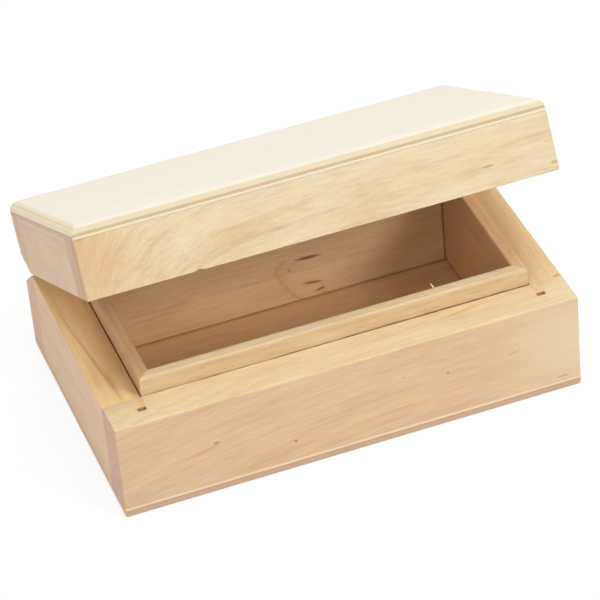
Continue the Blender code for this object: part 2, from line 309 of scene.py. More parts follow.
class NodeSheet(Sheet):
    """A material's nodes, with the sums and patterns that the finishes use."""

    def __init__(self, name: str) -> None:
        """Start a material with the usual shader in it.

        Args:
            name: The material's name.
        """
        self.material = bpy.data.materials.new(name)
        self.material.use_nodes = True
        super().__init__(self.material.node_tree)
        self.shader = self.tree.nodes["Principled BSDF"]

    def total(self, *values: object) -> Socket:
        """Add several values up.

        Args:
            *values: The values.

        Returns:
            Their sum.
        """
        result = values[0]
        for value in values[1:]:
            result = self.maths("ADD", result, value)
        return result

    def span(
        self, value: object, low: float, high: float,
        to_low: float = 0.0, to_high: float = 1.0, soft: bool = True,
    ) -> Socket:
        """Carry a value from one range into another and hold it there.

        Args:
            value: The value.
            low, high: The range that it comes in.
            to_low, to_high: The range that it goes out in.
            soft: Whether it eases in and out.

        Returns:
            The output socket.
        """
        node = self.add(
            "MapRange", {0: value, 1: low, 2: high, 3: to_low, 4: to_high}, clamp=True,
            interpolation_type="SMOOTHSTEP" if soft else "LINEAR",
        )
        return node.outputs[0]

    def point(self, x: object, y: object, z: object) -> Socket:
        """Put three values together to a point."""
        return self.add("CombineXYZ", {0: x, 1: y, 2: z}).outputs[0]

    def scaled(self, value: object, size: float, shift: float = 0.0) -> Socket:
        """Measure a length in steps of a size, counted from a shift."""
        inputs = {0: value, 1: 1.0 / size, 2: shift}
        return self.add("Math", inputs, operation="MULTIPLY_ADD").outputs[0]

    def noise(self, where: object, detail: float = 2.0) -> Socket:
        """A cloudy value about a half, with features as wide as one step."""
        inputs = {"Vector": where, "Scale": 1.0, "Detail": detail, "Roughness": 0.55}
        return self.add("TexNoise", inputs).outputs[0]

    def facing(self, normal: Socket, way: Vector) -> Socket:
        """How squarely a face looks along a way, or back along it: the cosine without its sign."""
        along = self.add("VectorMath", {0: normal, 1: way}, operation="DOT_PRODUCT")
        return self.maths("ABSOLUTE", along.outputs["Value"])

    def swing(self, value: object, weight: float) -> Socket:
        """How far a cloudy value is from a half, times a weight."""
        return self.maths("MULTIPLY", self.maths("SUBTRACT", value, 0.5), weight)

    def mix(self, share: object, first: object, second: object, blend: str = "MIX") -> Socket:
        """Blend two colours.

        Args:
            share: How much of the second colour there is.
            first, second: The colours, as sockets or red, green and blue.
            blend: The way of blending.

        Returns:
            The output socket.
        """
        colours = [(*c, 1.0) if isinstance(c, tuple) else c for c in (first, second)]
        node = self.add(
            "Mix", {0: share, 6: colours[0], 7: colours[1]}, data_type="RGBA",
            blend_type=blend, clamp_factor=True,
        )
        return node.outputs[2]

    def ramp(self, value: object, stops: Sequence[tuple[float, Colour]]) -> Socket:
        """Turn a value into a colour between several stops.

        Args:
            value: The value.
            stops: Each stop's place and colour, in order.

        Returns:
            The colour.
        """
        node = self.add("ValToRGB", {0: value})
        elements = node.color_ramp.elements
        while len(elements) < len(stops):
            elements.new(1.0)
        for element, (place, colour) in zip(elements, stops):
            element.position = place
            element.color = (*colour, 1.0)
        return node.outputs[0]

    def bump(self, height: object, distance: float, strength: float) -> None:
        """Roughen the surface by a height."""
        node = self.add("Bump", {"Height": height, "Distance": distance, "Strength": strength})
        self.set(self.shader, "Normal", node.outputs[0])


@dataclass(frozen=True)
class Mark:
    """A small spot, streak, pit or knot that is grown into a board.

    hollow makes it a ring of that width, open at its top.
    """

    centre: Point
    reach: Point
    colour: Colour
    strength: float = 0.8
    turn: Point = (0.0, 0.0, 0.0)
    soft: float = 0.5
    hollow: float = 0.0

    def over(self, sheet: NodeSheet, where: Socket, below: Socket, frayed: Socket) -> Socket:
        """Lay the mark over a board's colour.

        Args:
            sheet: The board's nodes.
            where: The place on the shut box.
            below: The colour without the mark.
            frayed: A small uneven value that frays the mark's outline.

        Returns:
            The colour with the mark.
        """
        local = sheet.add(
            "Mapping", {"Vector": where, "Location": self.centre, "Rotation": self.turn,
                        "Scale": self.reach}, vector_type="TEXTURE",
        ).outputs[0]
        away = sheet.add("VectorMath", {0: local}, operation="LENGTH").outputs["Value"]
        away = sheet.maths("ADD", away, frayed)
        if self.hollow:
            away = sheet.maths("ABSOLUTE", sheet.maths("SUBTRACT", away, 1.0))
            share = sheet.span(away, self.hollow, 0.0, 0.0, self.strength)
            height = sheet.add("SeparateXYZ", {0: local}).outputs[2]
            share = sheet.maths("MULTIPLY", share, sheet.span(height, 0.55, 0.95, 1.0, 0.0))
        else:
            share = sheet.span(away, 1.0 + self.soft, 1.0 - self.soft, 0.0, self.strength)
        return sheet.mix(share, below, self.colour)


@dataclass(frozen=True)
class Ply:
    """One layer of a plywood panel, or a glue line, as it shows at the panel's edges.

    depth is how far below the outer face it starts, at_front its colour at the front and the
    rear, and at_ends its colour at the left and right ends.
    """

    depth: float
    at_front: Colour
    at_ends: Colour


@dataclass(frozen=True)
class Plies:
    """How a plywood panel is built up, from its outer face inwards."""

    outer_level: float
    thickness: float
    layers: tuple[Ply, ...]
    blur: float = 0.00015

    def edge(self, sheet: NodeSheet, rise: Socket, end: Socket, uneven: Socket) -> Socket:
        """The colour of the panel's edges.

        Args:
            sheet: The panel's nodes.
            rise: The height on the shut box.
            end: One where the surface looks to the left or right, and else nought.
            uneven: A small length by which the layers' lines waver.

        Returns:
            The colour of the layer that is cut there.
        """
        below = sheet.maths("ABSOLUTE", sheet.maths("SUBTRACT", rise, self.outer_level))
        share = sheet.scaled(sheet.maths("ADD", below, uneven), self.thickness)
        soft = self.blur / self.thickness
        front_stops, end_stops = [], []
        for index, layer in enumerate(self.layers):
            place = layer.depth / self.thickness
            if index:
                before = self.layers[index - 1]
                front_stops.append((place - soft, before.at_front))
                end_stops.append((place - soft, before.at_ends))
                place += soft
            front_stops.append((place, layer.at_front))
            end_stops.append((place, layer.at_ends))
        return sheet.mix(end, sheet.ramp(share, front_stops), sheet.ramp(share, end_stops))


@dataclass(frozen=True)
class Fibres:
    """Where a board's points lie along its fibres, deep in its rings and beside them."""

    sheet: NodeSheet
    along: Socket
    depth: Socket
    beside: Socket
    seed: float

    def figure(self, sizes: Point, detail: float, shift: float) -> Socket:
        """Uneven colour drawn out along the fibres.

        Args:
            sizes: How large its features are along, in depth and beside.
            detail: How much finer detail they have.
            shift: Where it is read, so that no two figures agree.

        Returns:
            A cloudy value about a half.
        """
        sheet = self.sheet
        return sheet.noise(sheet.point(
            sheet.scaled(self.along, sizes[0], self.seed * 3.7 + shift),
            sheet.scaled(self.depth, sizes[1], self.seed + shift),
            sheet.scaled(self.beside, sizes[2], shift),
        ), detail)

    def rings(self, width: float) -> Socket:
        """The darker late wood of each ring, stronger in some years than in others.

        Args:
            width: How thick a year's ring is.

        Returns:
            One where the late wood is strongest, and nought beside it.
        """
        sheet = self.sheet
        count = sheet.scaled(self.depth, width, self.seed * 0.37)
        part = sheet.maths("FRACT", count)
        late = sheet.maths("MULTIPLY", sheet.span(part, 0.45, 0.93), sheet.span(part, 1.0, 0.94))
        year = sheet.add(
            "TexWhiteNoise", {"W": sheet.maths("FLOOR", count)}, noise_dimensions="1D"
        ).outputs["Value"]
        return sheet.maths("MULTIPLY", late, sheet.span(year, 0.0, 1.0, 0.15, 1.0))

    def pores(self) -> Socket:
        """The open ends of fine vessels: short dark dashes along the fibres.

        Returns:
            One in the middle of a dash, and nought beside it.
        """
        sheet = self.sheet
        place = sheet.point(
            sheet.scaled(self.along, 0.0030, self.seed), sheet.scaled(self.depth, 0.00060),
            sheet.scaled(self.beside, 0.00060),
        )
        cells = sheet.add("TexVoronoi", {"Vector": place, "Scale": 1.0})
        return sheet.span(cells.outputs["Distance"], 0.24, 0.10)

    def drift(self) -> Socket:
        """A tint that runs a little between pinkish and yellowish along the fibres.

        Returns:
            The tint, by which a colour is multiplied.
        """
        return self.sheet.ramp(self.figure((0.011, 0.0016, 0.0020), 2.0, 5.3), [
            (0.30, (0.985, 0.965, 0.975)), (0.50, (1.0, 1.0, 1.0)), (0.70, (1.0, 1.005, 0.90)),
        ])


@dataclass(frozen=True)
class Timber:
    """Bare, sanded timber, solid through the board.

    The rings lie round a heart outside the board, so the faces show the grain, and the ends
    show the rings themselves.
    """

    body: Colour
    light: Colour
    dark: Colour
    grain: Grain = Grain.ALONG_WIDTH
    heart: tuple[float, float] = (-0.12, -0.09)
    ring: float = 0.0034
    wander: float = 0.0018
    ring_weight: float = 0.14
    cloud_weight: float = 0.55
    streak_weight: float = 0.65
    fibre_weight: float = 0.40
    sweep: float = 0.0
    sweep_from: float = 0.0
    sweep_reach: float = 0.03
    end_tone: Colour = (0.78, 0.71, 0.80)
    # Painted light from above: a tint that makes the faces that look up paler.
    top_light_tint: Colour = (1.0, 1.0, 1.0)
    roughness: float = 0.58
    shine: float = 0.32
    seed: float = 1.0
    lift: float = 0.0
    mottle: float = 0.5
    lean: float = 0.31
    pore_weight: float = 0.30
    fray: float = 0.8
    ply_waver: float = 0.00025
    roughness_spread: float = 0.07
    end_roughness: float = 0.1
    fibre_height: float = 0.00006
    plies: Plies | None = None
    marks: tuple[Mark, ...] = ()

    def make(self, name: str, case: Case, body: Body) -> bpy.types.Material:
        """Mix the finish.

        Args:
            name: The material's name.
            case: The sizes of the box.
            body: The half of the box that the board is in.

        Returns:
            The material.
        """
        sheet = NodeSheet(name)
        texture = sheet.add("TexCoord", {}).outputs
        normal = texture["Normal"]
        where, fibres_way, upright = self._shut_place(sheet, texture["Object"], case, body)
        parts = sheet.add("SeparateXYZ", {0: where}).outputs
        along, across = parts[self.grain.value], parts[1 - self.grain.value]
        rise = parts[2]

        beside = sheet.maths("ADD", across, sheet.maths("MULTIPLY", rise, self.lean))
        depth = self._ring_depth(sheet, along, across, rise)
        fibres = Fibres(sheet, along, depth, beside, self.seed)
        cloud = fibres.figure((0.040, 0.006, 0.008), 2.0, 3.1)
        streak = fibres.figure((0.013, 0.0010, 0.0012), 3.0, 7.7)
        fibre = fibres.figure((0.005, 0.00040, 0.00040), 2.0, 1.9)
        level = sheet.total(
            sheet.swing(cloud, self.cloud_weight),
            sheet.swing(streak, self.streak_weight),
            sheet.swing(fibre, self.fibre_weight),
            sheet.maths("MULTIPLY", fibres.rings(self.ring), -self.ring_weight),
            0.5,
        )
        colour = sheet.ramp(level, [(0.0, self.dark), (0.5, self.body), (1.0, self.light)])
        colour = sheet.mix(self.mottle, colour, fibres.drift(), "MULTIPLY")

        end = sheet.span(sheet.facing(normal, fibres_way), 0.6, 0.95)
        if self.plies:
            sideways = sheet.facing(normal, upright.cross(fibres_way))
            endways = sheet.maths("SUBTRACT", sheet.facing(normal, fibres_way), sideways)
            at_end = sheet.span(endways, -0.05, 0.05)
            edge = self.plies.edge(sheet, rise, at_end, sheet.swing(fibre, self.ply_waver))
            shade = sheet.span(level, 0.1, 0.9, 0.93, 1.03)
            edge = sheet.mix(1.0, edge, sheet.point(shade, shade, shade), "MULTIPLY")
            flat = sheet.span(sheet.facing(normal, upright), 0.93, 0.998)
            colour = sheet.mix(flat, edge, colour)
        else:
            colour = sheet.mix(end, colour, self.end_tone, "MULTIPLY")
        # Painted light: faces that look up are tinted paler, as if lit from above.
        if self.top_light_tint != (1.0, 1.0, 1.0):
            lit_from_above = sheet.span(sheet.facing(normal, upright), 0.6, 0.95)
            colour = sheet.mix(lit_from_above, colour, self.top_light_tint, "MULTIPLY")
        pores = fibres.pores()
        colour = sheet.mix(sheet.maths("MULTIPLY", pores, self.pore_weight), colour, self.dark)

        frayed = sheet.swing(streak, self.fray)
        for mark in self.marks:
            colour = mark.over(sheet, where, colour, frayed)
        if self.lift:
            colour = sheet.mix(self.lift, colour, self.light)

        sheet.set(sheet.shader, "Base Color", colour)
        smoothest = self.roughness - self.roughness_spread
        roughest = self.roughness + self.roughness_spread
        sheet.set(sheet.shader, "Roughness", sheet.total(
            sheet.span(fibre, 0.25, 0.75, smoothest, roughest),
            sheet.maths("MULTIPLY", end, self.end_roughness),
        ))
        sheet.set(sheet.shader, "Specular IOR Level", self.shine)
        sheet.bump(sheet.maths("SUBTRACT", fibre, pores), self.fibre_height, 0.35)
        return sheet.material

    def _shut_place(
        self, sheet: NodeSheet, place: Socket, case: Case, body: Body
    ) -> tuple[Socket, Vector, Vector]:
        """Find where a point is when the box is shut.

        Args:
            sheet: The board's nodes.
            place: Where the point is on the half-open box.
            case: The sizes of the box.
            body: The half of the box that the board is in.

        Returns:
            That place, and the ways along the fibres and up the board on the half-open box.
        """
        fibres = Vector((1.0, 0.0, 0.0) if self.grain is Grain.ALONG_WIDTH else (0.0, 1.0, 0.0))
        upright = Vector((0.0, 0.0, 1.0))
        if body is Body.BASE:
            return place, fibres, upright
        lowering = case.raising.inverted()
        mapping = sheet.add("Mapping", {
            "Vector": place, "Rotation": tuple(lowering.to_euler()),
            "Location": tuple(lowering.to_translation()),
        })
        turn = case.raising.to_3x3()
        return mapping.outputs[0], turn @ fibres, turn @ upright

    def _ring_depth(self, sheet: NodeSheet, along: Socket, across: Socket, rise: Socket) -> Socket:
        """How deep in the tree a point was: its distance from the heart, with the bends.

        Args:
            sheet: The board's nodes.
            along, across, rise: The point's place on the shut box.

        Returns:
            The depth.
        """
        offset = sheet.point(
            sheet.maths("SUBTRACT", across, self.heart[0]),
            sheet.maths("SUBTRACT", rise, self.heart[1]), 0.0,
        )
        radius = sheet.add("VectorMath", {0: offset}, operation="LENGTH").outputs["Value"]
        wander = sheet.noise(sheet.point(
            sheet.scaled(along, 0.090, self.seed), sheet.scaled(across, 0.030, self.seed * 2.3),
            sheet.scaled(rise, 0.030),
        ), 1.0)
        depth = sheet.maths("ADD", radius, sheet.swing(wander, self.wander))
        if self.sweep:
            away = sheet.maths("SUBTRACT", self.sweep_from, along)
            fading = sheet.maths("EXPONENT", sheet.scaled(away, self.sweep_reach))
            depth = sheet.maths("ADD", depth, sheet.maths("MULTIPLY", fading, self.sweep))
        return depth


@dataclass(frozen=True)
class Metal:
    """Turned or drawn metal, a little dulled."""

    bright: Colour
    dull: Colour
    roughness: float
    ring_pitch: float
    cloud_pitch: float = 420.0
    unevenness: float = 0.25
    groove: float = 0.00003

    def make(self, name: str, around_x: bool) -> bpy.types.Material:
        """Mix the finish.

        Args:
            name: The material's name.
            around_x: Whether the piece was turned about the X axis, and not about Z.

        Returns:
            The material.
        """
        sheet = NodeSheet(name)
        place = sheet.add("TexCoord", {}).outputs["Object"]
        parts = sheet.add("SeparateXYZ", {0: place}).outputs
        along = parts[0] if around_x else parts[2]
        cloud = sheet.noise(sheet.add(
            "VectorMath", {0: place, 1: (self.cloud_pitch,) * 3}, operation="MULTIPLY"
        ).outputs[0], 3.0)
        lines = sheet.noise(sheet.point(sheet.scaled(along, self.ring_pitch), 0.0, 0.0), 2.0)
        colour = sheet.mix(sheet.span(cloud, 0.35, 0.7), self.bright, self.dull)
        sheet.set(sheet.shader, "Base Color", colour)
        sheet.set(sheet.shader, "Roughness", sheet.total(
            sheet.swing(cloud, self.unevenness), sheet.swing(lines, self.unevenness),
            self.roughness,
        ))
        sheet.set(sheet.shader, "Metallic", 1.0)
        sheet.bump(lines, self.groove, 0.4)
        return sheet.material


BROWN = tone(132, 82, 56)
AMBER = tone(200, 148, 92)
SHADE = tone(104, 60, 40)

BASE_FRONT_MARKS = (
    Mark((0.108, -0.070, 0.026), (0.030, 0.005, 0.024), tone(217, 200, 169), 0.75, soft=0.9),
    Mark((-0.0695, -0.070, 0.0251), (0.0085, 0.001, 0.0005), AMBER, 0.75, (0.0, -0.215, 0.0), 0.8),
    Mark((-0.0648, -0.070, 0.0276), (0.0014, 0.001, 0.0006), tone(170, 112, 74), 0.85),
    Mark((-0.0283, -0.070, 0.0157), (0.0009, 0.001, 0.0006), tone(180, 104, 78), 0.85),
    Mark((0.0773, -0.070, 0.0293), (0.0028, 0.001, 0.0005), tone(200, 152, 106), 0.7,
         (0.0, -0.15, 0.0)),
    Mark((0.0456, -0.070, 0.0288), (0.0005, 0.001, 0.0004), tone(120, 92, 70), 0.85),
    Mark((0.0247, -0.070, 0.0332), (0.0011, 0.001, 0.0004), tone(198, 152, 104), 0.7),
    Mark((0.1012, -0.070, 0.0079), (0.0034, 0.001, 0.0006), tone(194, 146, 92), 0.75),
    Mark((0.0580, -0.0568, 0.050), (0.0095, 0.0008, 0.002), tone(224, 170, 98), 0.6,
         (0.0, 0.0, 0.13), 0.8),
)
BASE_LEFT_MARKS = (
    # Painted shadow: a soft dark band on the left rim beside the foot of the left lining board.
    Mark((-0.0915, -0.004, 0.050), (0.0034, 0.075, 0.002), tone(176, 130, 88), 0.5, soft=0.9),
    Mark((-0.1004, -0.0383, 0.050), (0.0010, 0.0110, 0.002), tone(214, 152, 92), 0.55,
         (0.0, 0.0, 0.06), 0.8),
    Mark((-0.1033, -0.0169, 0.050), (0.0006, 0.0320, 0.002), tone(206, 148, 90), 0.55,
         (0.0, 0.0, 0.093), 0.8),
)
BASE_RIGHT_MARKS = (
    Mark((0.1075, -0.0508, 0.050), (0.0017, 0.0008, 0.001), tone(200, 140, 84), 0.8),
)
LID_FRONT_MARKS = (
    Mark((-0.113, -0.070, 0.070), (0.022, 0.005, 0.022), tone(204, 168, 124), 0.8, soft=0.9),
    Mark((0.0780, -0.070, 0.0603), (0.0028, 0.001, 0.0005), tone(186, 134, 90), 0.85),
    Mark((0.1085, -0.070, 0.0543), (0.0018, 0.001, 0.0009), tone(206, 142, 88), 0.7),
    Mark((-0.1068, -0.070, 0.0772), (0.0022, 0.001, 0.0005), tone(204, 140, 86), 0.7),
    Mark((-0.0588, -0.070, 0.0503), (0.0018, 0.0012, 0.0006), tone(118, 58, 36), 0.9),
)
LID_TOP_MARKS = (
    Mark((-0.0078, -0.0062, 0.0835), (0.0004, 0.0007, 0.001), tone(196, 176, 140), 0.8),
    Mark((-0.0625, -0.0384, 0.0835), (0.0004, 0.0007, 0.001), tone(196, 176, 140), 0.8),
)
# Painted shade: a dark line across the floor where it meets the rear lining board.
FLOOR_SHADE_LINE = (
    Mark((0.0, 0.0392, 0.0055), (0.30, 0.0008, 0.001), SHADE, 0.3, soft=0.6),
)
LINER_FRONT_MARKS = (
    # Painted shadow: a dark line along the foot of the front lining board, where it rises from the
    # rim.
    Mark((0.060, -0.0515, 0.0484), (0.170, 0.001, 0.0018), SHADE, 0.9, soft=0.25),
    Mark((-0.0625, -0.0515, 0.0560), (0.0016, 0.001, 0.0005), tone(200, 150, 118), 0.7),
)
LINER_LEFT_MARKS = (
    # Painted shadow: a dark line along the foot of the left lining board's outer face.
    Mark((-0.0915, -0.010, 0.0486), (0.001, 0.080, 0.0018), SHADE, 0.9, soft=0.25),
)
LINER_RIGHT_MARKS = (
    # Painted shade: a dark line in the inner corner by the rear lining board, and one along the
    # foot at the floor.
    Mark((0.0875, 0.0395, 0.030), (0.001, 0.0007, 0.20), tone(72, 60, 38), 0.62, soft=0.6),
    Mark((0.0875, 0.0, 0.0060), (0.001, 0.30, 0.0008), SHADE, 0.6, soft=0.4),
    Mark((0.0875, -0.0271, 0.0560), (0.001, 0.0007, 0.0006), tone(246, 228, 196), 0.6),
)
LINER_REAR_MARKS = (
    # Painted shade: a dark line in the inner corner by the right lining board.
    Mark((0.0875, 0.0395, 0.030), (0.0005, 0.001, 0.20), tone(72, 60, 38), 0.62, soft=0.6),
    Mark((0.0144, 0.0395, 0.0158), (0.0165, 0.004, 0.0071), tone(208, 150, 88), 0.5,
         (0.0, 0.927, 0.0), hollow=0.16),
    Mark((0.0091, 0.0395, 0.0244), (0.0006, 0.001, 0.0008), tone(190, 152, 60), 0.85),
    Mark((0.0185, 0.0395, 0.0291), (0.0064, 0.001, 0.0008), BROWN, 0.9, (0.0, 0.04, 0.0)),
    Mark((0.0198, 0.0395, 0.0141), (0.0046, 0.001, 0.0007), BROWN, 0.85, (0.0, 0.10, 0.0)),
    Mark((0.0236, 0.0395, 0.0091), (0.0021, 0.001, 0.0006), BROWN, 0.8, (0.0, -0.2, 0.0)),
    Mark((0.0020, 0.0395, 0.0140), (0.0120, 0.002, 0.0040), tone(214, 176, 132), 0.35, soft=0.9),
)


# --- Hand work ---


class Bench:
    """What is done to a board by hand, with nothing else selected."""

    @staticmethod
    def clear() -> None:
        """Select nothing."""
        for thing in list(bpy.context.selected_objects):
            thing.select_set(False)

    @classmethod
    def hold(cls, thing: Thing) -> None:
        """Select one piece alone and make it the active one.

        Args:
            thing: The piece.
        """
        cls.clear()
        thing.select_set(True)
        bpy.context.view_layer.objects.active = thing

    @staticmethod
    def settle(name: str) -> Thing:
        """Name what was just added, and leave its place and size in its mesh.

        Args:
            name: Its name.

        Returns:
            What was added.
        """
        thing = bpy.context.active_object
        thing.name = name
        bpy.ops.object.transform_apply(location=True, rotation=True, scale=True)
        return thing

    @staticmethod
    def modify(thing: Thing, kind: str, **settings: object) -> None:
        """Add a modifier to the active piece and apply it.

        Args:
            thing: The piece.
            kind: The modifier's type.
            **settings: Its settings.
        """
        modifier = thing.modifiers.new(kind.lower(), kind)
        for key, value in settings.items():
            setattr(modifier, key, value)
        bpy.ops.object.modifier_apply(modifier=modifier.name)

    @classmethod
    def block(cls, name: str, low: Point, high: Point) -> Thing:
        """Plane a square-edged block to size.

        Args:
            name: The piece's name.
            low, high: Its opposite corners.

        Returns:
            The block, with its place in its mesh.
        """
        cls.clear()
        low_corner, high_corner = Vector(low), Vector(high)
        bpy.ops.mesh.primitive_cube_add(size=1.0, location=(low_corner + high_corner) / 2)
        thing = bpy.context.active_object
        thing.data.name = name
        thing.scale = high_corner - low_corner
        return cls.settle(name)

    @classmethod
    def plank(cls, name: str, low: Point, high: Point) -> Thing:
        """Plane a block with two slots, for the planed faces and the rounded edges, whose paler
        finish is partly sanded wear and partly a painted highlight.

        Args:
            name: The piece's name.
            low, high: Its opposite corners.

        Returns:
            The block.
        """
        thing = cls.block(name, low, high)
        for _ in range(2):
            thing.data.materials.append(None)
        return thing

    @classmethod
    def dowel(cls, name: str, centre: Vector, radius: float, depth: float) -> Thing:
        """Add an upright round cutter.

        Args:
            name: Its name.
            centre: Its middle.
            radius: Its radius.
            depth: Its length.

        Returns:
            The cutter.
        """
        cls.clear()
        bpy.ops.mesh.primitive_cylinder_add(
            vertices=DRILL_SIDES, radius=radius, depth=depth, location=centre
        )
        return cls.settle(name)

    @classmethod
    def _pick_edges(cls, thing: Thing, test: EdgeTest) -> int:
        """Go into edit mode with only the edges selected that pass a test of their ends.

        Args:
            thing: The piece.
            test: Which edges, from their two ends.

        Returns:
            How many they are.
        """
        cls.hold(thing)
        bpy.ops.object.mode_set(mode="EDIT")
        bpy.ops.mesh.select_mode(type="EDGE")
        bpy.ops.mesh.select_all(action="DESELECT")
        bpy.ops.object.mode_set(mode="OBJECT")
        verts = thing.data.vertices
        count = 0
        for edge in thing.data.edges:
            if test(*(verts[index].co for index in edge.vertices)):
                edge.select = True
                count += 1
        bpy.ops.object.mode_set(mode="EDIT")
        return count

    @classmethod
    def ease(cls, thing: Thing, test: EdgeTest, width: float, steps: int = 3) -> None:
        """Round some edges over and give the rounding the second finish.

        Args:
            thing: The piece.
            test: Which edges, from their two ends.
            width: How far from the edge the rounding starts.
            steps: How many facets it has.
        """
        if cls._pick_edges(thing, test):
            bpy.ops.mesh.bevel(
                offset=width, offset_type="OFFSET", segments=steps, profile=0.5,
                affect="EDGES", clamp_overlap=True, material=1,
            )
        bpy.ops.object.mode_set(mode="OBJECT")

    @classmethod
    def saw(cls, thing: Thing, point: Vector, away: Vector) -> None:
        """Saw off what lies beyond a plane and close the cut.

        Args:
            thing: The piece.
            point: A point on the plane.
            away: The way from the plane to the waste.
        """
        cls.hold(thing)
        bpy.ops.object.mode_set(mode="EDIT")
        bpy.ops.mesh.select_all(action="SELECT")
        bpy.ops.mesh.bisect(plane_co=point, plane_no=away, use_fill=True, clear_outer=True)
        bpy.ops.object.mode_set(mode="OBJECT")

    @classmethod
    def cut(cls, thing: Thing, tool: Thing) -> None:
        """Cut a tool's shape out of a piece and put the tool away.

        Args:
            thing: The piece.
            tool: The tool.
        """
        cls.hold(thing)
        cls.modify(thing, "BOOLEAN", operation="DIFFERENCE", solver="EXACT", object=tool)
        bpy.data.objects.remove(tool, do_unlink=True)

    @classmethod
    def smooth(cls, thing: Thing) -> None:
        """Shade the roundings smooth and keep the flats flat.

        Args:
            thing: The piece.
        """
        cls.hold(thing)
        bpy.ops.object.shade_smooth_by_angle(angle=SMOOTH_ANGLE)
        cls.modify(thing, "WEIGHTED_NORMAL", keep_sharp=True)

    @classmethod
    def put(cls, thing: Thing, place: Matrix) -> None:
        """Move a piece and leave its new place in its mesh.

        Args:
            thing: The piece.
            place: Where it goes.
        """
        cls.hold(thing)
        thing.matrix_world = place
        bpy.ops.object.transform_apply(location=True, rotation=True, scale=True)


@dataclass
class Workshop:
    """Where a piece gets its finish, its place and its body."""

    case: Case
    made: list[str] = field(default_factory=list)

    def board(
        self, thing: Thing, node: str, body: Body, slot: Slot, timber: Timber,
        sanded_highlight_lift: float = 0.45,
    ) -> None:
        """Finish a board that stands for a CAD node.

        Args:
            thing: The board, modelled where it is when the box is shut.
            node: The node that it stands for.
            body: The half of the box that it moves with.
            slot: The kind of its finish; not used.
            timber: Its timber.
            sanded_highlight_lift: How much paler its rounded edges are.
        """
        thing.name = f"{node}_board"
        thing.data.materials.clear()
        thing.data.materials.append(timber.make(f"{node}_timber", self.case, body))
        # The rounded edges get a paler copy of the finish: partly sanded wear, partly a painted
        # highlight along the arrises.
        sanded = replace(timber, lift=sanded_highlight_lift)
        thing.data.materials.append(sanded.make(f"{node}_sanded_highlight_edge", self.case, body))
        Bench.smooth(thing)
        if body is Body.LID:
            Bench.put(thing, self.case.raising)
        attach(thing, body.value)
        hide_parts(node)
        self._report(thing, node)

    def _report(self, thing: Thing, node: str) -> None:
        """Say what was made, and warn where it strays from its node.

        Args:
            thing: The board.
            node: The node that it stands for.
        """
        low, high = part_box(node)
        corners = [vert.co for vert in thing.data.vertices]
        strays = [
            max(abs(min(c[axis] for c in corners) - low[axis]),
                abs(max(c[axis] for c in corners) - high[axis]))
            for axis in range(3)
        ]
        self.made.append(thing.name)
        say = log.warning if max(strays) > LARGE_STRAY else log.info
        say("%s: %d faces, within %.2f mm of %s", thing.name, len(thing.data.polygons),
            max(strays) * 1000, node)


# --- The box ---


